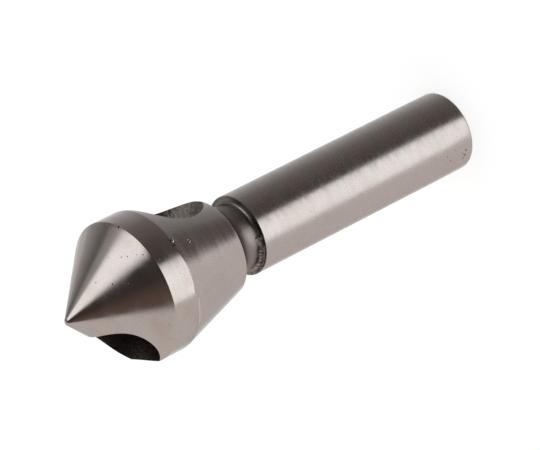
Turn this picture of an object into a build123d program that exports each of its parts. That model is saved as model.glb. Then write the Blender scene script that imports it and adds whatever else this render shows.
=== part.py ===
"""Cross-hole countersink bit: a relief-ground 90 degree point with one slanted chip hole.

One solid, turned and ground from round bar. It stands on its shank end with the point up:
+Z runs along the tool from the shank end to the point, and the slanted hole lies in the XZ
plane, with its mouth in the cutting cone on the -X side. Units are millimetres.
"""

import os
from math import asin, cos, degrees, radians, sin, tan

from build123d import *

# ---- driving dimensions -------------------------------------------------------------------
overall_length = 48.0
head_d = 14.0
point_angle = 90.0  # included angle of the cutting cone
point_flat_d = 0.5  # the blunt spot at the very point
land_length = 3.3  # cylindrical land, measured at the cutting edge
lip_length = 0.28  # unground ring left behind the land
lip_step = 0.06  # how much smaller in radius that ring is
rear_cone_length = 7.7
rear_cone_end_d = 9.5
rear_edge = 0.07  # broken edge where the rear cone ends
neck_d = 6.6
neck_length = 3.1
neck_cove = 1.75  # length of the hollow that rises from the neck to the rear cone's end
neck_root_r = 0.12  # tool nose radius in the corner by the shank
shank_d = 8.0
shank_edge = 0.12  # broken edge at the front of the shank
shank_end_chamfer = 0.3

# The slanted hole gathers the chips. Its rim in the cone is the one cutting edge.
hole_d = 7.1
hole_angle = 49.0  # between the hole and the tool axis
hole_depth = 9.2  # where the two axes cross, measured back from the cone's apex

# The cone is ground off centre: its radius falls steadily from the cutting edge, all the way
# round the back, to the heel on the other side of the hole.
cone_relief = 0.54  # radial drop at the heel, at full diameter
relief_points = 11  # stations of the spiral from cutting edge to heel

# ---- worked out from them -------------------------------------------------------------------
head_r = head_d / 2
half_tan = tan(radians(point_angle / 2))
z_apex = overall_length + point_flat_d / 2 / half_tan
z_land_front = z_apex - head_r / half_tan
z_land_rear = z_land_front - land_length
z_head_rear = z_land_rear - rear_cone_length
z_shoulder = z_head_rear - neck_length
z_hole = z_apex - hole_depth
shoulder_step = (shank_d - neck_d) / 2 - shank_edge
root_r = min(neck_root_r, 0.6 * shoulder_step, 0.2 * neck_length)
rear_step = (rear_cone_end_d - neck_d) / 2
z_cove = z_head_rear - min(max(neck_cove, rear_step), 0.7 * neck_length)

# The hole's rim crosses the land front either side of -X: the cutting edge on +Y, the heel on -Y.
edge_angle = 180.0 - degrees(asin(hole_d / head_d))
heel_angle = -edge_angle


def spiral_point(share):
    """Point of the ground section at the rear of the land, share 0 at the edge, 1 at the heel."""
    grow = (z_apex - z_land_rear) * half_tan / head_r
    radius = grow * (head_r - cone_relief * share)
    angle = radians(edge_angle + (heel_angle - edge_angle) * share)
    return (radius * cos(angle), radius * sin(angle))


# Section of the relief-ground cone, where its radius is everywhere past the land's.
with BuildSketch(Plane.XY.offset(z_land_rear)) as ground_section:
    with BuildLine():
        back = Spline([spiral_point(i / (relief_points - 1)) for i in range(relief_points)])
        step_r = ((back @ 0).length + (back @ 1).length) / 2
        ThreePointArc(back @ 1, (-step_r, 0), back @ 0)
    make_face()

with BuildPart() as countersink_bit:
    # Relief-ground cone: the spiral section drawn together at the apex.
    loft(sections=[ground_section.sketch.face(), Vertex(0, 0, z_apex)])

    # The land is ground round to full diameter, and the point is left slightly blunt.
    with BuildSketch(Plane.XY.offset(z_land_rear)):
        Circle(head_r)
    extrude(amount=overall_length - z_land_rear, mode=Mode.INTERSECT)

    # Lip behind the land: the turned size before grinding.
    with BuildSketch(Plane.XY.offset(z_land_rear)):
        Circle(head_r)
        Circle(head_r - lip_step, mode=Mode.SUBTRACT)
    extrude(amount=lip_length, mode=Mode.SUBTRACT)

    # Rear cone, neck and shank, turned in one go.
    with BuildSketch(Plane.XZ) as turned_profile:
        with BuildLine():
            Polyline(
                (0, 0),
                (shank_d / 2 - shank_end_chamfer, 0),
                (shank_d / 2, shank_end_chamfer),
                (shank_d / 2, z_shoulder - shank_edge),
                (shank_d / 2 - shank_edge, z_shoulder),
                (neck_d / 2, z_shoulder),
                (neck_d / 2, z_cove),
            )
            TangentArc((neck_d / 2, z_cove), (rear_cone_end_d / 2, z_head_rear), tangent=(0, 1))
            Polyline(
                (rear_cone_end_d / 2, z_head_rear),
                (head_r - lip_step, z_land_rear),
                (0, z_land_rear),
                (0, 0),
            )
        make_face()
        corners = turned_profile.vertices()
        neck_ends = corners.filter_by_position(Axis.X, neck_d / 2, neck_d / 2)
        fillet(neck_ends.sort_by(Axis.Y)[0], radius=root_r)
        corners = turned_profile.vertices()
        rear_corner = corners.filter_by_position(Axis.X, rear_cone_end_d / 2, rear_cone_end_d / 2)
        fillet(rear_corner, radius=rear_edge)
    revolve(axis=Axis.Z)

    # Slanted chip hole, right through from the cutting cone to the rear cone.
    slant = (sin(radians(hole_angle)), 0, -cos(radians(hole_angle)))
    with BuildSketch(Plane(origin=(0, 0, z_hole), x_dir=(0, 1, 0), z_dir=slant)):
        Circle(hole_d / 2)
    extrude(amount=2 * head_d, both=True, mode=Mode.SUBTRACT)

countersink_bit.part.label = "countersink_bit"

os.makedirs("parts", exist_ok=True)
export_step(countersink_bit.part, "parts/countersink_bit.step")
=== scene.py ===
"""Countersink bit: turned, bored and ground, with its steel finishes and a plain studio.

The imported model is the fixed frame. The bit stands on its shank end with the point up, +Z along
the tool, and the slanted chip hole lies in the XZ plane with its mouth on the -X side.
"""

import math
import random

import bpy
from bpy.props import FloatProperty, FloatVectorProperty, IntProperty, PointerProperty
from mathutils import Matrix, Vector


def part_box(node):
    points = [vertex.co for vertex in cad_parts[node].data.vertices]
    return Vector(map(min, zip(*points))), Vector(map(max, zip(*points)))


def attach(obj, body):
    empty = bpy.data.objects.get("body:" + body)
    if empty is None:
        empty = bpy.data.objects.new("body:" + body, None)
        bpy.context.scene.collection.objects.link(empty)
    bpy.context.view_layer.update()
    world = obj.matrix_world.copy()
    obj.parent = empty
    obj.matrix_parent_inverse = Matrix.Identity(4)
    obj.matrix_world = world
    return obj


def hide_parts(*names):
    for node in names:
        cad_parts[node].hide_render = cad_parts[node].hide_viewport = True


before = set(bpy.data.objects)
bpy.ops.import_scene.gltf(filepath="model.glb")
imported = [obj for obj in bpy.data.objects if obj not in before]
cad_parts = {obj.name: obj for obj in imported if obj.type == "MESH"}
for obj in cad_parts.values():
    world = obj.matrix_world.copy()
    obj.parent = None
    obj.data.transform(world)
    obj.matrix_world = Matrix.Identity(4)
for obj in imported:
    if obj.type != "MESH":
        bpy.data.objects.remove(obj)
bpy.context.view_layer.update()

bl_info = {
    "name": "Countersink Bit",
    "version": (1, 0, 0),
    "blender": (4, 5, 0),
    "location": "View3D > Sidebar > Countersink",
    "description": "Models a cross-hole countersink bit in ground steel and sets up its studio",
    "category": "Add Mesh",
}

MM = 0.001
NODE = "countersink_bit"
BODY = "root"
LOW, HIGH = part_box(NODE)

TURNED_BREAK = 0.05 * MM  # broken edges of the rear cone
# The lip's dark line is painted shade.
LIP_LINE = 0.09  # mm behind the lip's end where its dark line starts
LIP_EDGE = 0.04 * MM  # past the lip's end, clear of the rounded edge there
EDGE_REACH = 1.2  # how far back the shank's broken edge reaches, in sizes of that edge
TINY = 0.001 * MM  # tolerance for telling the turned faces apart


# ---- sizes and looks that a user would change ------------------------------------------------


class BitSizes(bpy.types.PropertyGroup):
    """Sizes of the bit, along its axis from the shank end"""

    length: FloatProperty(
        name="Length", description="Shank end to point", default=HIGH.z - LOW.z, unit="LENGTH",
    )
    head_radius: FloatProperty(
        name="Head radius", description="Radius of the land", default=(HIGH.y - LOW.y) / 2, unit="LENGTH",
    )
    point_angle: FloatProperty(
        name="Point angle", description="Included angle of the cutting cone",
        default=math.radians(90), subtype="ANGLE",
    )
    point_radius: FloatProperty(
        name="Point radius", description="Radius of the blunt spot", default=0.25 * MM, unit="LENGTH",
    )
    land: FloatProperty(
        name="Land", description="Length of the land at the cutting edge", default=3.3 * MM, unit="LENGTH",
    )
    lip: FloatProperty(
        name="Lip", description="Length of the unground ring behind the land",
        default=0.28 * MM, unit="LENGTH",
    )
    lip_step: FloatProperty(
        name="Lip step", description="Radial step from lip to land", default=0.06 * MM, unit="LENGTH",
    )
    rear_cone: FloatProperty(
        name="Rear cone", description="Length of the rear cone", default=7.7 * MM, unit="LENGTH",
    )
    rear_radius: FloatProperty(
        name="Rear radius", description="Radius at the rear cone's end", default=4.75 * MM, unit="LENGTH",
    )
    neck: FloatProperty(name="Neck", description="Length of the neck", default=3.1 * MM, unit="LENGTH")
    neck_radius: FloatProperty(
        name="Neck radius", description="Radius of the neck", default=3.3 * MM, unit="LENGTH",
    )
    neck_root: FloatProperty(
        name="Neck root", description="Radius in the neck's corner by the shank",
        default=0.32 * MM, unit="LENGTH",
    )
    cove: FloatProperty(
        name="Cove", description="Length of the hollow from the neck to the rear cone's end",
        default=2.1 * MM, unit="LENGTH",
    )
    shank_radius: FloatProperty(
        name="Shank radius", description="Radius of the shank", default=4.0 * MM, unit="LENGTH",
    )
    shank_edge: FloatProperty(
        name="Shank edge", description="Broken edge at the shank's front", default=0.06 * MM, unit="LENGTH",
    )
    shank_end: FloatProperty(
        name="Shank end", description="Chamfer at the shank's end", default=0.3 * MM, unit="LENGTH",
    )
    hole_radius: FloatProperty(
        name="Hole radius", description="Radius of the chip hole", default=3.55 * MM, unit="LENGTH",
    )
    hole_angle: FloatProperty(
        name="Hole angle", description="Between the chip hole and the tool axis",
        default=math.radians(49), subtype="ANGLE",
    )
    hole_depth: FloatProperty(
        name="Hole depth", description="From the cone's apex to where the axes cross",
        default=9.2 * MM, unit="LENGTH",
    )
    relief: FloatProperty(
        name="Relief", description="Radial drop of the cone at the heel", default=0.54 * MM, unit="LENGTH",
    )
    segments: IntProperty(name="Segments", description="Sides round the tool", default=360, min=24)


class SteelLook(bpy.types.PropertyGroup):
    """Colours and roughness of the steel"""

    steel: FloatVectorProperty(
        name="Steel", description="Colour of clean steel",
        default=(0.64, 0.60, 0.58), subtype="COLOR", size=3,
    )
    stain: FloatVectorProperty(
        name="Stain", description="Colour of oil-stained steel",
        default=(0.52, 0.42, 0.35), subtype="COLOR", size=3,
    )
    pit: FloatVectorProperty(
        name="Pit", description="Colour inside pits and torn metal",
        default=(0.13, 0.10, 0.09), subtype="COLOR", size=3,
    )
    bore: FloatVectorProperty(
        name="Bore", description="Colour of the drilled bore",
        default=(0.30, 0.27, 0.255), subtype="COLOR", size=3,
    )
    # Painted shade: the dark colour that the bore passes into towards its mouth, and the shoulder face below
    # the flakes.
    scale: FloatVectorProperty(
        name="Scale", description="Colour of the scale in the bore's mouth",
        default=(0.125, 0.105, 0.098), subtype="COLOR", size=3,
    )
    # Darker than the clean steel: painted shade of the groove between head and shank, also used for the
    # lip's dark line and the shank's broken edge.
    shaded_neck_steel: FloatVectorProperty(
        name="Neck steel", description="Colour of the turned neck",
        default=(0.37, 0.343, 0.332), subtype="COLOR", size=3,
    )
    # Darker than the clean steel: painted shade in the corner between neck and shank, on a rougher faced
    # finish.
    shoulder: FloatVectorProperty(
        name="Shoulder", description="Colour of the shank's shoulder face",
        default=(0.29, 0.275, 0.27), subtype="COLOR", size=3,
    )
    # Painted highlight: a bright colour for the lip's bright line and the raised rims beside two dents.
    painted_highlight: FloatVectorProperty(
        name="Highlighted", description="Colour of burnished rims",
        default=(0.90, 0.87, 0.85), subtype="COLOR", size=3,
    )
    burr: FloatVectorProperty(
        name="Burr", description="Colour of the torn flakes",
        default=(0.24, 0.215, 0.205), subtype="COLOR", size=3,
    )
    torn: FloatVectorProperty(
        name="Torn steel", description="Colour of torn and nicked metal",
        default=(0.22, 0.18, 0.165), subtype="COLOR", size=3,
    )
    ground: FloatProperty(
        name="Ground", description="Roughness of the ground cone and land",
        default=0.17, min=0, max=1, subtype="FACTOR",
    )
    turned: FloatProperty(
        name="Turned", description="Roughness of the turned head",
        default=0.19, min=0, max=1, subtype="FACTOR",
    )
    neck: FloatProperty(
        name="Neck", description="Roughness of the turned neck",
        default=0.34, min=0, max=1, subtype="FACTOR",
    )
    shank: FloatProperty(
        name="Shank", description="Roughness of the ground shank",
        default=0.24, min=0, max=1, subtype="FACTOR",
    )


class StudioLook(bpy.types.PropertyGroup):
    """Camera and light"""

    azimuth: FloatProperty(
        name="Azimuth", description="Camera azimuth from -Y", default=math.radians(16.846), subtype="ANGLE",
    )
    elevation: FloatProperty(
        name="Elevation", description="Camera elevation", default=math.radians(34.005), subtype="ANGLE",
    )
    roll: FloatProperty(
        name="Roll", description="Turn of the camera about its view",
        default=math.radians(116.983), subtype="ANGLE",
    )
    distance: FloatProperty(
        name="Distance", description="Camera to the aim point", default=358.474 * MM, unit="LENGTH",
    )
    aim: FloatVectorProperty(
        name="Aim", description="Point at the middle of the view",
        default=(-0.457 * MM, -0.138 * MM, 23.320 * MM), subtype="TRANSLATION", size=3,
    )
    lens: FloatProperty(
        name="Lens", description="Focal length on a 36 mm sensor", default=254.19, unit="CAMERA",
    )
    level: FloatProperty(name="Level", description="Plain light on matt surfaces", default=0.45, min=0)
    lamp: FloatProperty(name="Lamp", description="Power of the overhead lamp", default=0.25, unit="POWER")


# ---- small helpers ----------------------------------------------------------------------------


def start_piece(name, add, **placing):
    """Add a primitive with nothing else selected, and name it."""
    bpy.ops.object.select_all(action="DESELECT")
    add(**placing)
    piece = bpy.context.object
    piece.name = piece.data.name = name
    return piece


def settle(piece):
    """Apply place, turn and scale, so that the object sits at the origin."""
    bpy.ops.object.select_all(action="DESELECT")
    piece.select_set(True)
    bpy.context.view_layer.objects.active = piece
    bpy.ops.object.transform_apply(location=True, rotation=True, scale=True)


def turn_blank(name, profile, segments):
    """Turn a closed solid from stations of (height, radius), drawn out ring by ring."""
    (height, radius), *rest = profile
    piece = start_piece(
        name, bpy.ops.mesh.primitive_circle_add,
        vertices=segments, radius=radius, fill_type="NGON", location=(0, 0, height),
    )
    settle(piece)
    bpy.ops.object.mode_set(mode="EDIT")
    bpy.ops.mesh.select_all(action="SELECT")
    for next_height, next_radius in rest:
        bpy.ops.mesh.extrude_region_move(TRANSFORM_OT_translate={"value": (0, 0, next_height - height)})
        scale = next_radius / radius
        bpy.ops.transform.resize(value=(scale, scale, 1), center_override=(0, 0, next_height))
        height, radius = next_height, next_radius
    bpy.ops.mesh.merge(type="CENTER")
    bpy.ops.mesh.select_all(action="SELECT")
    bpy.ops.mesh.normals_make_consistent(inside=False)
    bpy.ops.object.mode_set(mode="OBJECT")
    return piece


def cut(piece, cutter):
    """Take the cutter away from the piece, and delete it. The cut faces get the cutter's finish."""
    bpy.ops.object.select_all(action="DESELECT")
    piece.select_set(True)
    bpy.context.view_layer.objects.active = piece
    modifier = piece.modifiers.new("cut", "BOOLEAN")
    modifier.operation = "DIFFERENCE"
    modifier.solver = "EXACT"
    modifier.material_mode = "TRANSFER"
    modifier.object = cutter
    bpy.ops.object.modifier_apply(modifier=modifier.name)
    bpy.data.objects.remove(cutter, do_unlink=True)


def between(value, limits):
    """Whether a value lies between two limits."""
    return limits[0] < value < limits[1]


def spaced(start, end, count):
    """Evenly spaced numbers after start, up to and with end."""
    return [start + (end - start) * i / count for i in range(1, count + 1)]


def rounded(corner, before, after, size, count=4):
    """Stations round a corner of the profile, between two unit directions in (height, radius)."""
    stations = []
    for i in range(count + 1):
        t = i / count
        a, b = (1 - t) ** 2 * size, t ** 2 * size
        stations.append((corner[0] - before[0] * a + after[0] * b, corner[1] - before[1] * a + after[1] * b))
    return stations


# ---- the bit -----------------------------------------------------------------------------------


def heights(s):
    """Heights of the bit's shoulders by name, and the tangent of the cone's half angle."""
    half_tan = math.tan(s.point_angle / 2)
    apex = s.length + s.point_radius / half_tan
    land_front = apex - s.head_radius / half_tan
    land_rear = land_front - s.land
    head_rear = land_rear - s.rear_cone
    return {
        "half_tan": half_tan, "apex": apex, "land_front": land_front, "land_rear": land_rear,
        "head_rear": head_rear, "shoulder": head_rear - s.neck, "hole": apex - s.hole_depth,
    }


def turned_profile(s):
    """Stations of the turned blank from the shank end to the point, before relief grinding."""
    h = heights(s)
    lip_radius, lip_end = s.head_radius - s.lip_step, h["land_rear"] + s.lip
    up, out, inward = (1, 0), (0, 1), (0, -1)
    rear = Vector((s.rear_cone, lip_radius - s.rear_radius)).normalized()
    front = Vector((1 / h["half_tan"], -1)).normalized()

    # Shank, from its chamfered end to its broken front edge.
    profile = [(0, s.shank_radius - 1.3 * s.shank_end)]
    profile += rounded((0, s.shank_radius - 0.02 * MM), out, up, s.shank_end, 7)
    profile = [(z, min(r, s.shank_radius)) for z, r in profile]
    shank_front = h["shoulder"] - EDGE_REACH * s.shank_edge
    profile += [(z, s.shank_radius) for z in spaced(s.shank_end * 1.4, shank_front, 9)]
    profile += rounded((h["shoulder"], s.shank_radius), up, inward, s.shank_edge)

    # Neck: the round corner by the shank, the plain part, and the cove, an arc that leaves it smoothly.
    root = s.neck_root
    for i in range(7):
        angle = math.radians(15 * i)
        profile.append((
            h["shoulder"] + root - root * math.cos(angle),
            s.neck_radius + root - root * math.sin(angle),
        ))
    cove_start = h["head_rear"] - s.cove
    profile += [(z, s.neck_radius) for z in spaced(h["shoulder"] + root, cove_start, 6)]
    rise = s.rear_radius - s.neck_radius
    sweep = (rise ** 2 + s.cove ** 2) / (2 * rise)
    steepest = math.asin(s.cove / sweep)
    for angle in spaced(0, steepest, 24)[:-1]:
        profile.append((
            cove_start + sweep * math.sin(angle), s.neck_radius + sweep - sweep * math.cos(angle),
        ))
    steep = (math.cos(steepest), math.sin(steepest))

    # Rear cone, lip and land, with their edges broken.
    profile += rounded((h["head_rear"], s.rear_radius), steep, rear, TURNED_BREAK)
    profile += [
        (h["head_rear"] + s.rear_cone * t, s.rear_radius + (lip_radius - s.rear_radius) * t)
        for t in spaced(0, 1, 22)[:-1]
    ]
    profile += rounded((h["land_rear"], lip_radius), rear, up, TURNED_BREAK, 2)
    profile += [(lip_end - d * MM, lip_radius) for d in (LIP_LINE, 0.01)]
    profile += rounded((lip_end, s.head_radius), out, up, 0.03 * MM, 3)
    land_stations = spaced(lip_end + 0.05 * MM, h["land_front"] - 0.05 * MM, 14)
    profile += [(z, s.head_radius) for z in land_stations]
    profile += rounded((h["land_front"], s.head_radius), up, front, 0.02 * MM, 2)

    # Cutting cone and the blunt spot at the point.
    profile += [
        (h["apex"] - r / h["half_tan"], r)
        for r in spaced(s.head_radius - 0.08 * MM, 1.3 * s.point_radius, 34)
    ]
    profile += [
        (s.length - 0.045 * MM, 1.06 * s.point_radius), (s.length - 0.018 * MM, 0.8 * s.point_radius),
        (s.length - 0.004 * MM, 0.45 * s.point_radius), (s.length, 0.1 * s.point_radius),
    ]
    return profile


def relief_share(s, angle):
    """How far round from the cutting edge an angle lies: 0 at the edge, 1 at the heel."""
    edge = math.pi - math.asin(s.hole_radius / s.head_radius)
    if abs(angle) <= edge:
        return (edge - angle) / (2 * edge)
    past = (abs(angle) - edge) / (math.pi - edge)
    return past / 2 if angle > 0 else 1 - past / 2


def grind_relief(piece, s):
    """Lower the cone from the cutting edge round to the heel, and the land's front with it."""
    h = heights(s)
    for vertex in piece.data.vertices:
        x, y, z = vertex.co
        if z < h["land_rear"] + s.lip + LIP_EDGE:
            continue
        radius = math.hypot(x, y)
        if radius < 1e-7:
            continue
        share = relief_share(s, math.atan2(y, x))
        drop = radius / h["half_tan"] * (1 / (1 - s.relief / s.head_radius * share) - 1)
        if z < h["land_front"]:
            drop *= (z - h["land_rear"] - s.lip) / (s.land - s.lip)
        vertex.co.z -= drop
    piece.data.update()


def bore_hole(piece, s, finish):
    """Bore the slanted chip hole from the cone to the rear cone."""
    h = heights(s)
    drill = start_piece(
        "drill", bpy.ops.mesh.primitive_cylinder_add,
        vertices=180, radius=s.hole_radius, depth=4 * s.head_radius,
        location=(0, 0, h["hole"]), rotation=(0, math.pi - s.hole_angle, 0),
    )
    settle(drill)
    drill.data.materials.append(finish)
    cut(piece, drill)


# Small pits that use has left. On the cone: azimuth in degrees, radius in mm, size in mm.
CONE_NICKS = (
    (-20, 6.95, 0.16), (-9, 6.63, 0.08), (-5, 6.72, 0.06), (3, 6.53, 0.06), (39, 6.58, 0.05),
    (-28.5, 5.0, 0.04), (-40, 5.51, 0.055), (-44, 5.81, 0.055), (-49, 6.3, 0.04), (-52.5, 6.61, 0.07),
    (-35, 3.26, 0.05), (-55.5, 3.96, 0.07), (7, 3.17, 0.04), (-116.5, 3.37, 0.04), (-115.5, 6.45, 0.05),
)
# Elsewhere: azimuth in degrees, height in mm, size in mm.
SIDE_NICKS = (
    (-53.5, 38.2, 0.11), (-58, 38.2, 0.10), (-59, 36.31, 0.08), (-132.5, 40.5, 0.05),
    (-121.5, 1.16, 0.13), (-114, 1.02, 0.11), (-125.5, 1.36, 0.10), (-117, 1.5, 0.07),
    (-110, 3.54, 0.07), (-119, 3.1, 0.08), (-124, 2.7, 0.06), (-107, 2.4, 0.06),
)


def surface_radius(s, height):
    """Radius of the turned profile at a height."""
    profile = turned_profile(s)
    for (z0, r0), (z1, r1) in zip(profile, profile[1:]):
        if z0 <= height <= z1 and z1 > z0:
            return r0 + (r1 - r0) * (height - z0) / (z1 - z0)
    raise ValueError(f"no surface at height {height}")


def nick_places(s):
    """Angle, radius, height and size of every nick, in metres and radians."""
    h = heights(s)
    places = []
    for azimuth, radius, size in CONE_NICKS:
        angle = math.radians(azimuth)
        grown = radius * MM / (1 - s.relief / s.head_radius * relief_share(s, angle))
        places.append((angle, radius * MM, h["apex"] - grown / h["half_tan"], size * MM))
    for azimuth, height, size in SIDE_NICKS:
        places.append((math.radians(azimuth), surface_radius(s, height * MM), height * MM, size * MM))
    return places


def nick(piece, s, finish):
    """Press small shallow pits into the surface."""
    rng = random.Random(3)
    dents = []
    for angle, radius, height, size in nick_places(s):
        radius += 0.45 * size  # only the lower part of each ball bites
        dent = start_piece(
            "dent", bpy.ops.mesh.primitive_ico_sphere_add, subdivisions=2, radius=size,
            location=(radius * math.cos(angle), radius * math.sin(angle), height),
            scale=[rng.uniform(0.8, 1.25) for _ in range(3)],
            rotation=(rng.uniform(0, 3), rng.uniform(0, 3), 0),
        )
        settle(dent)
        dent.data.materials.append(finish)
        dents.append(dent)
    for dent in dents:
        dent.select_set(True)
    bpy.context.view_layer.objects.active = dents[0]
    bpy.ops.object.join()
    cut(piece, dents[0])


# Where the lip has run out, on either side of +X, and how far round it takes to be whole: degrees.
LIP_GONE = (-88, 100)
LIP_RETURN = (26, 40)


def fade_lip(piece, s):
    """Let the unground ring behind the land run out towards the side that was ground deeper."""
    h = heights(s)
    lip_radius = s.head_radius - s.lip_step
    slope = (lip_radius - s.rear_radius) / s.rear_cone
    for vertex in piece.data.vertices:
        x, y, z = vertex.co
        if not between(z, (h["land_rear"] - 0.06 * MM, h["land_rear"] + s.lip + LIP_EDGE)):
            continue
        azimuth = math.degrees(math.atan2(y, x))
        if azimuth < 0:
            shown = (LIP_GONE[0] - azimuth) / LIP_RETURN[0]
        else:
            shown = (azimuth - LIP_GONE[1]) / LIP_RETURN[1]
        shown = min(1.0, max(0.0, shown)) ** 2
        radius = math.hypot(x, y)
        plain = min(s.head_radius, lip_radius + slope * (z - h["land_rear"]))
        scale = (plain + (radius - plain) * shown) / radius
        vertex.co.x, vertex.co.y = x * scale, y * scale
    piece.data.update()


class COUNTERSINK_OT_body(bpy.types.Operator):
    """Model the bit: turned blank, relief-ground cone and slanted chip hole"""

    bl_idname = "countersink.body"
    bl_label = "Bit body"

    def execute(self, context):
        s = context.scene.bit_sizes
        finishes = steel_finishes(context.scene.steel_look)
        body = turn_blank("bit_body", turned_profile(s), s.segments)
        assign_finishes(body, s, finishes)
        grind_relief(body, s)
        fade_lip(body, s)
        bore_hole(body, s, finishes["bore"])
        nick(body, s, finishes["torn"])
        bpy.ops.object.select_all(action="DESELECT")
        body.select_set(True)
        context.view_layer.objects.active = body
        bpy.ops.object.shade_smooth_by_angle(angle=math.radians(24))
        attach(body, BODY)
        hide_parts(NODE)
        return {"FINISHED"}


# Torn flakes along the shank's shoulder: azimuths in degrees, widths in columns of the grid, lengths
# in mm. The first flake is the longest.
FLAKES_FROM, FLAKES_SPAN = -88, -64
FIRST_FLAKE = (12, 0.8)
FLAKE_WIDTHS, FLAKE_LENGTHS = (4, 10), (0.05, 0.62)
FLAKE_SKIN = 0.04 * MM
# Rims beside two dents in the head's side: azimuth in degrees, height in mm, radius in mm.
RIMS = ((-53, 38.16, 0.27), (-59, 36.31, 0.15))


def flake_lengths(rng, columns):
    """Reach and lift of the tip, in mm, at each column of a row of pointed flakes."""
    reach, tips = [], []
    while len(reach) <= columns:
        width, length = (rng.randint(*FLAKE_WIDTHS), rng.uniform(*FLAKE_LENGTHS)) if reach else FIRST_FLAKE
        peak, tip = rng.uniform(0.15, 0.85) * width, rng.uniform(-0.12, 0.12)
        for k in range(width):
            flank = k / peak if k < peak else (width - k) / (width - peak)
            reach.append(length * (0.06 + 0.94 * flank))
            tips.append(tip)
    return reach, tips


def shoulder_burr(s):
    """Torn flakes of metal that lean from the shank's shoulder over the neck's root."""
    shoulder = heights(s)["shoulder"]
    rng = random.Random(7)
    columns, rows = 120, 4
    burr = start_piece(
        "shoulder_burr", bpy.ops.mesh.primitive_grid_add,
        x_subdivisions=columns, y_subdivisions=rows, size=2,
    )
    reach, tips = flake_lengths(rng, columns)
    crumple = [[rng.uniform(-1, 1) for _ in range(rows + 1)] for _ in range(columns + 1)]
    for vertex in burr.data.vertices:
        i = round((vertex.co.x + 1) / 2 * columns)
        j = round((vertex.co.y + 1) / 2 * rows)
        out = j / rows
        angle = math.radians(FLAKES_FROM + FLAKES_SPAN * i / columns + 0.4 * crumple[i][j] * out)
        lean = 0.15 + min(0.6, 0.9 * reach[i]) * out + 0.02 * crumple[i][(j + 2) % (rows + 1)] * out
        lift = (0.8 * reach[i] + tips[i] * out) * out + 0.02 * crumple[i][(j + 3) % (rows + 1)] * out
        radius = s.shank_radius - lean * MM
        vertex.co = (radius * math.cos(angle), radius * math.sin(angle), shoulder + lift * MM)
    skin = burr.modifiers.new("skin", "SOLIDIFY")
    skin.thickness = FLAKE_SKIN
    skin.offset = 0
    bpy.ops.object.modifier_apply(modifier=skin.name)
    return burr


def raised_rim(s, azimuth, height, size):
    """Crescent of metal pushed up beside a dent in the head's side, on the side of the shank."""
    angle = math.radians(azimuth)
    radius = surface_radius(s, height * MM)
    rim = start_piece(
        "raised_rim", bpy.ops.mesh.primitive_torus_add,
        major_radius=size * MM, major_segments=24, minor_radius=0.28 * size * MM, minor_segments=8,
        location=(radius * math.cos(angle), radius * math.sin(angle), height * MM),
        rotation=(0, math.pi / 2, angle),
    )
    for vertex in rim.data.vertices:
        x, y, z = vertex.co
        vertex.co.z = z - 0.11 * size * MM * (1 - x / math.hypot(x, y))
    settle(rim)
    return rim


class COUNTERSINK_OT_burrs(bpy.types.Operator):
    """Model the raised metal: the torn skin by the shank's shoulder and the rims of two dents"""

    bl_idname = "countersink.burrs"
    bl_label = "Burrs"

    def execute(self, context):
        s = context.scene.bit_sizes
        pieces = [shoulder_burr(s)]
        pieces += [raised_rim(s, *place) for place in RIMS]
        # The rims are real raised metal, coloured with the painted highlight.
        for piece, finish in zip(pieces, ("Torn burr", "Burnished rim", "Burnished rim")):
            piece.data.materials.append(bpy.data.materials[finish])
            piece.select_set(True)
        context.view_layer.objects.active = burrs = pieces[0]
        bpy.ops.object.join()
        burrs.name = burrs.data.name = "burrs"
        bpy.ops.object.mode_set(mode="EDIT")
        bpy.ops.mesh.select_all(action="SELECT")
        bpy.ops.mesh.normals_make_consistent(inside=False)
        bpy.ops.object.mode_set(mode="OBJECT")
        bpy.ops.object.shade_smooth_by_angle(angle=math.radians(25))
        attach(burrs, BODY)
        return {"FINISHED"}


# ---- finishes ----------------------------------------------------------------------------------


def add_node(tree, kind, values=None, **settings):
    """Add a node, set its own settings and the values of its unlinked inputs."""
    node = tree.nodes.new(kind)
    for name, value in settings.items():
        setattr(node, name, value)
    for name, value in (values or {}).items():
        node.inputs[name].default_value = value
    return node


def new_group(name, inputs, outputs):
    """Start a shader node group with named float or colour sockets."""
    group = bpy.data.node_groups.new(name, "ShaderNodeTree")
    for label, default in inputs:
        kind = "NodeSocketFloat" if isinstance(default, (int, float)) else "NodeSocketColor"
        socket = group.interface.new_socket(name=label, in_out="INPUT", socket_type=kind)
        socket.default_value = default
    for label, kind in outputs:
        group.interface.new_socket(name=label, in_out="OUTPUT", socket_type=kind)
    return group, group.nodes.new("NodeGroupInput"), group.nodes.new("NodeGroupOutput")


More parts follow.
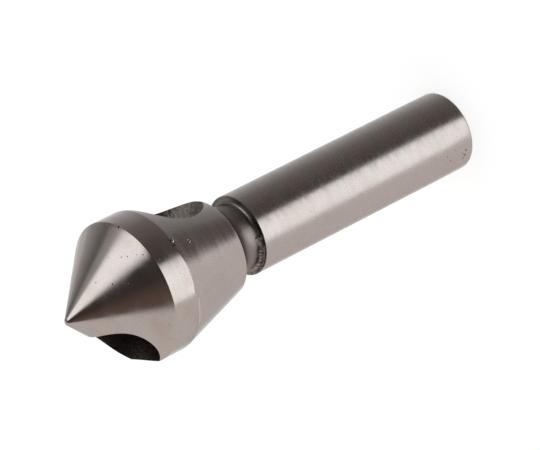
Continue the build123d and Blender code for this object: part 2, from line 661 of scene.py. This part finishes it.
def tool_marks_group():
    """Fine broken rings left round the axis by turning or grinding, on cones, cylinders and faces."""
    group, given, out = new_group(
        "Tool marks", [("Rings per mm", 9.0), ("Breaks per mm", 0.6)],
        [("Height", "NodeSocketFloat"), ("Tone", "NodeSocketFloat")],
    )
    link = group.links.new
    place = add_node(group, "ShaderNodeTexCoord")
    in_mm = add_node(group, "ShaderNodeVectorMath", {1: (1000.0,) * 3}, operation="MULTIPLY")
    link(place.outputs["Object"], in_mm.inputs[0])
    round_axis = add_node(group, "ShaderNodeVectorMath", {1: (1.0, 1.0, 0.0)}, operation="MULTIPLY")
    link(in_mm.outputs[0], round_axis.inputs[0])
    radius = add_node(group, "ShaderNodeVectorMath", operation="LENGTH")
    link(round_axis.outputs[0], radius.inputs[0])
    apart = add_node(group, "ShaderNodeSeparateXYZ")
    link(in_mm.outputs[0], apart.inputs[0])
    along = add_node(group, "ShaderNodeMath", {1: 0.5}, operation="MULTIPLY_ADD")
    link(radius.outputs["Value"], along.inputs[0])
    link(apart.outputs["Z"], along.inputs[2])
    drawn = add_node(group, "ShaderNodeCombineXYZ")
    stretches = (
        ("X", apart.outputs["X"], "Breaks per mm"),
        ("Y", apart.outputs["Y"], "Breaks per mm"),
        ("Z", along.outputs[0], "Rings per mm"),
    )
    for axis, source, scale in stretches:
        stretched = add_node(group, "ShaderNodeMath", operation="MULTIPLY")
        link(source, stretched.inputs[0])
        link(given.outputs[scale], stretched.inputs[1])
        link(stretched.outputs[0], drawn.inputs[axis])
    rings = add_node(group, "ShaderNodeTexNoise", {"Scale": 1.0, "Detail": 2.0, "Roughness": 0.6})
    link(drawn.outputs[0], rings.inputs["Vector"])
    broad = add_node(group, "ShaderNodeTexNoise", {"Scale": 0.22, "Detail": 2.0})
    link(drawn.outputs[0], broad.inputs["Vector"])
    link(rings.outputs[0], out.inputs["Height"])
    link(broad.outputs[0], out.inputs["Tone"])
    return group


def grit_group():
    """Fine random grain of the surface, with streaks drawn out along the tool."""
    group, given, out = new_group(
        "Grit", [("Grains per mm", 7.0), ("Stretch", 0.4)],
        [("Height", "NodeSocketFloat"), ("Cloud", "NodeSocketFloat")],
    )
    link = group.links.new
    place = add_node(group, "ShaderNodeTexCoord")
    shape = add_node(group, "ShaderNodeCombineXYZ", {"X": 1000.0, "Y": 1000.0})
    length = add_node(group, "ShaderNodeMath", {1: 1000.0}, operation="MULTIPLY")
    link(given.outputs["Stretch"], length.inputs[0])
    link(length.outputs[0], shape.inputs["Z"])
    drawn = add_node(group, "ShaderNodeVectorMath", operation="MULTIPLY")
    link(place.outputs["Object"], drawn.inputs[0])
    link(shape.outputs[0], drawn.inputs[1])
    grains = add_node(group, "ShaderNodeTexNoise", {"Detail": 4.0, "Roughness": 0.62})
    link(drawn.outputs[0], grains.inputs["Vector"])
    link(given.outputs["Grains per mm"], grains.inputs["Scale"])
    cloud = add_node(group, "ShaderNodeTexNoise", {"Scale": 0.45, "Detail": 3.0})
    link(drawn.outputs[0], cloud.inputs["Vector"])
    link(grains.outputs[0], out.inputs["Height"])
    link(cloud.outputs[0], out.inputs["Cloud"])
    return group


def pits_group():
    """Scattered small pits and specks."""
    group, given, out = new_group(
        "Pits", [("Cells per mm", 1.6), ("Share", 0.12), ("Size", 0.16)], [("Mask", "NodeSocketFloat")],
    )
    link = group.links.new
    place = add_node(group, "ShaderNodeTexCoord")
    in_mm = add_node(group, "ShaderNodeVectorMath", {1: (1000.0,) * 3}, operation="MULTIPLY")
    link(place.outputs["Object"], in_mm.inputs[0])
    cells = add_node(group, "ShaderNodeTexVoronoi", {"Randomness": 1.0}, feature="F1")
    link(in_mm.outputs[0], cells.inputs["Vector"])
    link(given.outputs["Cells per mm"], cells.inputs["Scale"])
    chance = add_node(group, "ShaderNodeSeparateColor")
    link(cells.outputs["Color"], chance.inputs[0])
    chosen = add_node(group, "ShaderNodeMath", operation="LESS_THAN")
    link(chance.outputs[0], chosen.inputs[0])
    link(given.outputs["Share"], chosen.inputs[1])
    near = add_node(
        group, "ShaderNodeMapRange", {"From Min": 0.0, "To Min": 1.0, "To Max": 0.0},
        interpolation_type="SMOOTHSTEP",
    )
    link(cells.outputs["Distance"], near.inputs["Value"])
    link(given.outputs["Size"], near.inputs["From Max"])
    mask = add_node(group, "ShaderNodeMath", operation="MULTIPLY")
    link(chosen.outputs[0], mask.inputs[0])
    link(near.outputs[0], mask.inputs[1])
    link(mask.outputs[0], out.inputs["Mask"])
    return group


def placed_group(tree, name, values):
    """Place a shared node group in a material, with the material's own values."""
    node = tree.nodes.new("ShaderNodeGroup")
    node.node_tree = bpy.data.node_groups[name]
    for label, value in values.items():
        node.inputs[label].default_value = value
    return node


def blend_colours(tree, low, high):
    """Mix node between two colours."""
    node = add_node(tree, "ShaderNodeMix", data_type="RGBA")
    node.inputs[6].default_value = (*low, 1.0)
    node.inputs[7].default_value = (*high, 1.0)
    return node


def swing(tree, middle, amount):
    """Noise of 0.3 to 0.7 turned into a value that swings about its middle."""
    return add_node(tree, "ShaderNodeMapRange", {
        "From Min": 0.3, "From Max": 0.7, "To Min": middle - amount, "To Max": middle + amount,
    })


def smooth(tree, value, start, end):
    """0 at start and beyond it, 1 at end and beyond it."""
    limits = {"From Min": start, "From Max": end}
    node = add_node(tree, "ShaderNodeMapRange", limits, interpolation_type="SMOOTHSTEP")
    tree.links.new(value, node.inputs["Value"])
    return node.outputs[0]


def steel_finish(name, colour, stain, pit, roughness, rings, breaks, ring_depth, grain, stretch,
                 grain_depth, pit_share, pit_size, stain_amount, rough_swing=0.06, speckles=0.09):
    """A steel finish: rings and grain in the surface, clouded stain, and scattered pits. Depths in mm."""
    material = bpy.data.materials.new(name)
    material.use_nodes = True
    tree = material.node_tree
    link = tree.links.new
    shader = tree.nodes["Principled BSDF"]
    shader.inputs["Metallic"].default_value = 1.0
    shader.inputs["Specular Tint"].default_value = (0.85, 0.85, 0.85, 1.0)
    marks = placed_group(tree, "Tool marks", {"Rings per mm": rings, "Breaks per mm": breaks})
    grit = placed_group(tree, "Grit", {"Grains per mm": grain, "Stretch": stretch})
    pits = placed_group(tree, "Pits", {"Share": pit_share, "Size": pit_size})

    # Colour: stain in clouds, dark pits, and a speckle that follows the grain.
    clouded = add_node(
        tree, "ShaderNodeMapRange",
        {"From Min": 0.42, "From Max": 0.72, "To Min": 0.0, "To Max": stain_amount},
        interpolation_type="SMOOTHSTEP",
    )
    link(grit.outputs["Cloud"], clouded.inputs["Value"])
    stained = blend_colours(tree, colour, stain)
    link(clouded.outputs[0], stained.inputs[0])
    pitted = blend_colours(tree, colour, pit)
    link(stained.outputs[2], pitted.inputs[6])
    link(pits.outputs["Mask"], pitted.inputs[0])
    speckle = swing(tree, 1, speckles)
    link(grit.outputs["Height"], speckle.inputs["Value"])
    speckled = add_node(tree, "ShaderNodeVectorMath", operation="MULTIPLY")
    link(pitted.outputs[2], speckled.inputs[0])
    link(speckle.outputs[0], speckled.inputs[1])
    link(speckled.outputs[0], shader.inputs["Base Color"])

    # Roughness: broad rings, and rougher pits.
    worn = swing(tree, roughness, rough_swing)
    link(marks.outputs["Tone"], worn.inputs["Value"])
    rougher = add_node(tree, "ShaderNodeMath", {1: 0.35}, operation="MULTIPLY_ADD")
    link(pits.outputs["Mask"], rougher.inputs[0])
    link(worn.outputs[0], rougher.inputs[2])
    link(rougher.outputs[0], shader.inputs["Roughness"])

    # Relief: rings, grain, then sunk pits.
    bumps = None
    for source, depth in ((marks.outputs["Height"], ring_depth), (grit.outputs["Height"], grain_depth)):
        bump = add_node(tree, "ShaderNodeBump", {"Strength": 1.0, "Distance": depth * MM})
        link(source, bump.inputs["Height"])
        if bumps:
            link(bumps.outputs[0], bump.inputs["Normal"])
        bumps = bump
    sunk = add_node(tree, "ShaderNodeBump", {"Strength": 1.0, "Distance": 0.02 * MM}, invert=True)
    link(pits.outputs["Mask"], sunk.inputs["Height"])
    link(bumps.outputs[0], sunk.inputs["Normal"])
    link(sunk.outputs[0], shader.inputs["Normal"])
    return material


def covered_along(material, colour, axis, start, end):
    """Let a finish's colour pass into another along one axis, between two places."""
    tree = material.node_tree
    shader = tree.nodes["Principled BSDF"]
    steel = shader.inputs["Base Color"].links[0].from_socket
    place = add_node(tree, "ShaderNodeTexCoord")
    apart = add_node(tree, "ShaderNodeSeparateXYZ")
    tree.links.new(place.outputs["Object"], apart.inputs[0])
    share = smooth(tree, apart.outputs[axis], start, end)
    covered = blend_colours(tree, colour, colour)
    tree.links.new(share, covered.inputs[0])
    tree.links.new(steel, covered.inputs[6])
    tree.links.new(covered.outputs[2], shader.inputs["Base Color"])
    return material


def steel_finishes(look):
    """The finishes of the bit, by region."""
    for build_group in (tool_marks_group, grit_group, pits_group):
        build_group()
    shared = {"stain": look.stain, "pit": look.pit}
    fine = {"grain": 9, "pit_size": 0.075, **shared}
    coarse = {"stretch": 1.0, **shared}
    finishes = {
        "shank": steel_finish(
            "Ground shank", look.steel, roughness=look.shank, rings=8, breaks=2.8, ring_depth=0.0004,
            stretch=0.7, grain_depth=0.0022, pit_share=0.2, stain_amount=0.15, rough_swing=0.045, **fine),
        "ground": steel_finish(
            "Ground cone", look.steel, roughness=look.ground, rings=7, breaks=1.2, ring_depth=0.0006,
            stretch=1.0, grain_depth=0.0022, pit_share=0.3, stain_amount=0.35, **fine),
        "turned": steel_finish(
            "Turned head", look.steel, roughness=look.turned, rings=7, breaks=1.0, ring_depth=0.0008,
            stretch=0.7, grain_depth=0.003, pit_share=0.2, stain_amount=0.12, **fine),
        # Turned neck: a real rougher turned finish, and darker steel that is painted shade of the groove.
        "neck": steel_finish(
            "Turned neck", look.shaded_neck_steel, roughness=look.neck, rings=6, breaks=1.2, ring_depth=0.004,
            grain=4, grain_depth=0.012, pit_share=0.15, pit_size=0.18, stain_amount=0.2, **coarse),
        "bore": steel_finish(
            "Drilled bore", look.bore, roughness=0.42, rings=3, breaks=1.5, ring_depth=0.03,
            grain=4, grain_depth=0.07, pit_share=0.5, pit_size=0.25, stain_amount=0.5,
            speckles=0.45, **coarse),
        # Shoulder face: a real rougher faced finish, and dark steel that is painted shade of the corner.
        "shoulder": steel_finish(
            "Shoulder face", look.shoulder, roughness=0.42, rings=5, breaks=2.0, ring_depth=0.01,
            grain=5, grain_depth=0.03, pit_share=0.5, pit_size=0.25, stain_amount=0.3,
            speckles=0.6, **coarse),
        "torn": steel_finish(
            "Torn steel", look.torn, roughness=0.45, rings=3, breaks=2.0, ring_depth=0.004,
            grain=8, grain_depth=0.012, pit_share=0.3, pit_size=0.3, stain_amount=0.5, **coarse),
        "burr": steel_finish(
            "Torn burr", look.burr, roughness=0.3, rings=5, breaks=3.0, ring_depth=0.004,
            grain=8, grain_depth=0.015, pit_share=0.5, pit_size=0.3, stain_amount=0.3, **coarse),
        # Painted highlight, on the lip's bright line and on the real raised rims.
        "painted_highlight": steel_finish(
            "Burnished rim", look.painted_highlight, roughness=0.22, rings=6, breaks=3.0, ring_depth=0.001,
            grain=8, grain_depth=0.003, pit_share=0.1, pit_size=0.2, stain_amount=0.1, **coarse),
    }
    # Painted shade: the bore darkens towards its mouth in the cone, and the shoulder darkens towards -Y,
    # below the flakes.
    covered_along(finishes["bore"], look.scale, "X", 2.5 * MM, -1.5 * MM)
    covered_along(finishes["shoulder"], look.scale, "Y", -0.4 * MM, -2.0 * MM)
    return finishes


# Lines on the turned edges, azimuths in degrees: the lip's painted highlight and painted shade, and the torn
# stretch of the shank's edge, also in painted shade.
PAINTED_LIP_HIGHLIGHT = (-125, -103)
PAINTED_LIP_SHADE = (-139, -119)
TORN_SHADED_SHANK_EDGE = (-142, -62)


def assign_finishes(body, s, finishes):
    """Give each region of the turned blank its finish, by height, and the lip its painted highlight and
    painted shade lines.
    """
    h = heights(s)
    lip_end = h["land_rear"] + s.lip
    names = ("shank", "ground", "turned", "neck", "shoulder", "painted_highlight")
    for name in names:
        body.data.materials.append(finishes[name])
    for face in body.data.polygons:
        x, y, z = face.center
        azimuth = math.degrees(math.atan2(y, x))
        if z > lip_end:
            region = "ground"
        # The lip's bright line: painted highlight.
        elif abs(z - h["land_rear"]) < TURNED_BREAK and between(azimuth, PAINTED_LIP_HIGHLIGHT):
            region = "painted_highlight"
        # The lip's dark line: painted shade, in the darker neck steel.
        elif z > lip_end - LIP_LINE * MM and between(azimuth, PAINTED_LIP_SHADE):
            region = "neck"
        elif z > h["head_rear"] + TINY or z < TINY:
            region = "turned"
        elif z > h["shoulder"] + TINY:
            region = "neck"
        elif z > h["shoulder"] - TINY:
            region = "shoulder"
        # The shank's broken edge: painted shade in the neck's darker steel, and in the shoulder's along the
        # torn stretch.
        elif z > h["shoulder"] - EDGE_REACH * s.shank_edge:
            region = "shoulder" if between(azimuth, TORN_SHADED_SHANK_EDGE) else "neck"
        else:
            region = "shank"
        face.material_index = names.index(region)


# ---- studio ------------------------------------------------------------------------------------


def direction(azimuth, elevation):
    """Unit vector from degrees."""
    a, e = math.radians(azimuth), math.radians(elevation)
    return Vector((math.cos(e) * math.cos(a), math.cos(e) * math.sin(a), math.sin(e)))


def dot_with(tree, vector, fixed):
    """How far a vector points along a fixed one."""
    node = add_node(tree, "ShaderNodeVectorMath", {1: tuple(fixed)}, operation="DOT_PRODUCT")
    tree.links.new(vector, node.inputs[0])
    return node.outputs["Value"]


def tinted(tree, value, colour):
    """A value times a colour."""
    node = add_node(tree, "ShaderNodeVectorMath", {1: tuple(colour)}, operation="MULTIPLY")
    tree.links.new(value, node.inputs[0])
    return node.outputs[0]


def joined(tree, kind, operation, values):
    """Values put together one after the other by a maths node: their product, or the brightest."""
    total = values[0]
    for value in values[1:]:
        node = add_node(tree, kind, operation=operation)
        tree.links.new(total, node.inputs[0])
        tree.links.new(value, node.inputs[1])
        total = node.outputs[0]
    return total


# The mirrored studio lies on its side round the standing bit, as round one that lies on a table:
# its table is on the side away from ROOM_UP, with the tool along it.
ROOM_UP = Vector((0.896, -0.443, 0)).normalized()
ROOM_ALONG = Vector((0, 0, 1))
ROOM_ACROSS = ROOM_UP.cross(ROOM_ALONG)

# Grey of the backdrop, from the side turned away (0) round to its brightest place (1).
BACKDROP_STOPS = (
    (0.0, (0.045, 0.036, 0.034)), (0.26, (0.055, 0.046, 0.044)), (0.354, (0.075, 0.062, 0.058)),
    (0.465, (0.115, 0.098, 0.092)), (0.57, (0.15, 0.133, 0.127)), (0.6545, (0.175, 0.158, 0.152)),
    (0.711, (0.235, 0.222, 0.217)), (0.78, (0.30, 0.29, 0.285)), (0.847, (0.40, 0.395, 0.39)),
    (0.883, (0.46, 0.46, 0.455)), (0.933, (0.57, 0.57, 0.565)), (0.97, (0.78, 0.78, 0.775)),
    (1.0, (0.92, 0.92, 0.915)),
)


def room_direction(turn, rise):
    """Unit vector in the studio from degrees: turned from across towards along, risen towards up."""
    t, e = math.radians(turn), math.radians(rise)
    return ROOM_UP * math.sin(e) + (ROOM_ACROSS * math.cos(t) + ROOM_ALONG * math.sin(t)) * math.cos(e)


def backdrop(tree, ray):
    """Backdrop brightest towards one side, dimmed in one place by a dark card."""
    behind = add_node(tree, "ShaderNodeMapRange", {"From Min": -1.0, "From Max": 1.0})
    tree.links.new(dot_with(tree, ray, direction(107, -34)), behind.inputs["Value"])
    falloff = add_node(tree, "ShaderNodeValToRGB")
    elements = falloff.color_ramp.elements
    while len(elements) < len(BACKDROP_STOPS):
        elements.new(0.5)
    for element, (position, colour) in zip(elements, BACKDROP_STOPS):
        element.position = position
        element.color = (*colour, 1)
    tree.links.new(behind.outputs[0], falloff.inputs[0])

    dimmed = add_node(tree, "ShaderNodeMapRange", {"To Min": 1.0, "To Max": 0.68})
    tree.links.new(soft_spot(tree, ray, direction(-32, -64), 19, 6), dimmed.inputs["Value"])
    room = add_node(tree, "ShaderNodeVectorMath", operation="MULTIPLY")
    tree.links.new(falloff.outputs["Color"], room.inputs[0])
    tree.links.new(dimmed.outputs[0], room.inputs[1])
    return room.outputs[0]


def soft_spot(tree, ray, towards, outer, inner):
    """Round soft patch: 0 past the outer angle from its middle, 1 within the inner one, in degrees."""
    facing = dot_with(tree, ray, towards)
    return smooth(tree, facing, math.cos(math.radians(outer)), math.cos(math.radians(inner)))


def soft_box(tree, ray, towards, tilt, halves):
    """Tilted soft box. Halves are its half width and half height, each with its edge's softness."""
    side = Matrix.Rotation(math.radians(tilt), 3, towards) @ ROOM_UP.cross(towards).normalized()
    top = towards.cross(side)
    facing = dot_with(tree, ray, towards)
    edges = [smooth(tree, facing, 0.2, 0.4)]
    for axis, (half, softness) in zip((side, top), halves):
        across = add_node(tree, "ShaderNodeMath", operation="DIVIDE")
        tree.links.new(dot_with(tree, ray, axis), across.inputs[0])
        tree.links.new(facing, across.inputs[1])
        size = add_node(tree, "ShaderNodeMath", operation="ABSOLUTE")
        tree.links.new(across.outputs[0], size.inputs[0])
        outer, inner = math.tan(math.radians(half + softness)), math.tan(math.radians(half - softness))
        edges.append(smooth(tree, size.outputs[0], outer, inner))
    return joined(tree, "ShaderNodeMath", "MULTIPLY", edges)


def build_world(look):
    """Plain light for matt surfaces, and for the steel a studio with two soft boxes to mirror."""
    world = bpy.data.worlds.new("Studio")
    bpy.context.scene.world = world
    world.use_nodes = True
    world.cycles.sampling_method = "NONE"
    tree = world.node_tree
    link = tree.links.new
    ray = add_node(tree, "ShaderNodeTexCoord").outputs["Generated"]

    rise = dot_with(tree, ray, ROOM_UP + 0.34 * ROOM_ALONG - 0.12 * ROOM_ACROSS)
    table = smooth(tree, rise, 0.07, -0.19)
    glow = smooth(tree, rise, 0.95, 0.12)
    box_a = soft_box(tree, ray, room_direction(-36, 17.1), 36, ((26, 3), (18.6, 5)))
    box_b = soft_spot(tree, ray, direction(1, 45.5), 29.5, 11)
    spill = soft_spot(tree, ray, direction(28, 33), 24, 4)
    studio = joined(tree, "ShaderNodeVectorMath", "MAXIMUM", [
        backdrop(tree, ray),
        tinted(tree, table, (0.63, 0.575, 0.551)),
        tinted(tree, glow, (0.115, 0.080, 0.065)),
        tinted(tree, spill, (0.35, 0.335, 0.33)),
        tinted(tree, box_a, (1.22, 1.21, 1.20)),
        tinted(tree, box_b, (1.20, 1.18, 1.17)),
    ])

    # The camera and glass see plain white, steel mirrors the studio, and matt surfaces get a plain level.
    path = add_node(tree, "ShaderNodeLightPath")
    glossy = blend_colours(tree, (look.level,) * 3, (1, 1, 1))
    link(path.outputs["Is Glossy Ray"], glossy.inputs[0])
    link(studio, glossy.inputs[7])
    seen = add_node(tree, "ShaderNodeMath", operation="MAXIMUM")
    link(path.outputs["Is Camera Ray"], seen.inputs[0])
    link(path.outputs["Is Transmission Ray"], seen.inputs[1])
    white = blend_colours(tree, (1, 1, 1), (1, 1, 1))
    link(seen.outputs[0], white.inputs[0])
    link(glossy.outputs[2], white.inputs[6])
    link(white.outputs[2], tree.nodes["Background"].inputs["Color"])


def build_floor():
    """Pale floor, white to the camera apart from the bit's faint shadow."""
    floor = start_piece("floor", bpy.ops.mesh.primitive_plane_add, size=4)
    material = bpy.data.materials.new("Pale floor")
    material.use_nodes = True
    tree = material.node_tree
    shader = tree.nodes["Principled BSDF"]
    shader.inputs["Base Color"].default_value = (0.9, 0.9, 0.9, 1)
    shader.inputs["Roughness"].default_value = 1.0
    shader.inputs["Specular IOR Level"].default_value = 0.0
    shader.inputs["Emission Color"].default_value = (1, 1, 1, 1)
    path = add_node(tree, "ShaderNodeLightPath")
    lit = add_node(tree, "ShaderNodeMath", {1: 0.62}, operation="MULTIPLY")
    tree.links.new(path.outputs["Is Camera Ray"], lit.inputs[0])
    tree.links.new(lit.outputs[0], shader.inputs["Emission Strength"])
    floor.data.materials.append(material)
    floor.visible_glossy = False


def build_camera(look):
    """Camera on the aim point, turned about its view by the roll."""
    a, e = look.azimuth, look.elevation
    back = Vector((math.sin(a) * math.cos(e), -math.cos(a) * math.cos(e), math.sin(e)))
    level_up = Vector((-math.sin(a) * math.sin(e), math.cos(a) * math.sin(e), math.cos(e)))
    level_right = level_up.cross(back)
    up = level_up * math.cos(look.roll) + level_right * math.sin(look.roll)
    right = up.cross(back)
    camera = bpy.data.objects.new("camera", bpy.data.cameras.new("camera"))
    bpy.context.scene.collection.objects.link(camera)
    turn = Matrix((right, up, back)).transposed().to_4x4()
    camera.matrix_world = Matrix.Translation(Vector(look.aim) + back * look.distance) @ turn
    camera.data.sensor_width = 36
    camera.data.lens = look.lens
    camera.data.clip_start = 0.01
    camera.data.clip_end = 10
    bpy.context.scene.camera = camera


def build_lamp(look):
    """Broad overhead lamp for the soft shadow. The steel doesn't mirror it."""
    lamp = bpy.data.objects.new("overhead", bpy.data.lights.new("overhead", "AREA"))
    bpy.context.scene.collection.objects.link(lamp)
    lamp.data.shape = "DISK"
    lamp.data.size = 0.5
    lamp.data.energy = look.lamp
    lamp.visible_glossy = False
    lamp.location = (0.15, -0.5, 0.7)
    lamp.rotation_euler = (-lamp.location).to_track_quat("-Z", "Y").to_euler()


class COUNTERSINK_OT_stage(bpy.types.Operator):
    """Set up the floor, the studio light and the camera"""

    bl_idname = "countersink.stage"
    bl_label = "Studio"

    def execute(self, context):
        look = context.scene.studio_look
        build_world(look)
        build_floor()
        build_lamp(look)
        build_camera(look)
        context.scene.view_settings.view_transform = "Standard"
        return {"FINISHED"}


class COUNTERSINK_PT_panel(bpy.types.Panel):
    """Pieces of the countersink bit and their settings"""

    bl_idname = "COUNTERSINK_PT_panel"
    bl_label = "Countersink Bit"
    bl_space_type = "VIEW_3D"
    bl_region_type = "UI"
    bl_category = "Countersink"

    def draw(self, context):
        for operator in OPERATORS:
            self.layout.operator(operator.bl_idname)
        for settings in (context.scene.bit_sizes, context.scene.steel_look, context.scene.studio_look):
            box = self.layout.box()
            for name in settings.bl_rna.properties.keys():
                if name not in ("rna_type", "name"):
                    box.prop(settings, name)


OPERATORS = (COUNTERSINK_OT_body, COUNTERSINK_OT_burrs, COUNTERSINK_OT_stage)
CLASSES = (BitSizes, SteelLook, StudioLook, *OPERATORS, COUNTERSINK_PT_panel)


def register():
    for cls in CLASSES:
        bpy.utils.register_class(cls)
    bpy.types.Scene.bit_sizes = PointerProperty(type=BitSizes)
    bpy.types.Scene.steel_look = PointerProperty(type=SteelLook)
    bpy.types.Scene.studio_look = PointerProperty(type=StudioLook)


def unregister():
    del bpy.types.Scene.bit_sizes, bpy.types.Scene.steel_look, bpy.types.Scene.studio_look
    for cls in reversed(CLASSES):
        bpy.utils.unregister_class(cls)


def main():
    """Register the classes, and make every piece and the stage."""
    register()
    for operator in OPERATORS:
        group, name = operator.bl_idname.split(".")
        getattr(getattr(bpy.ops, group), name)()


if __name__ == "__main__":
    main()
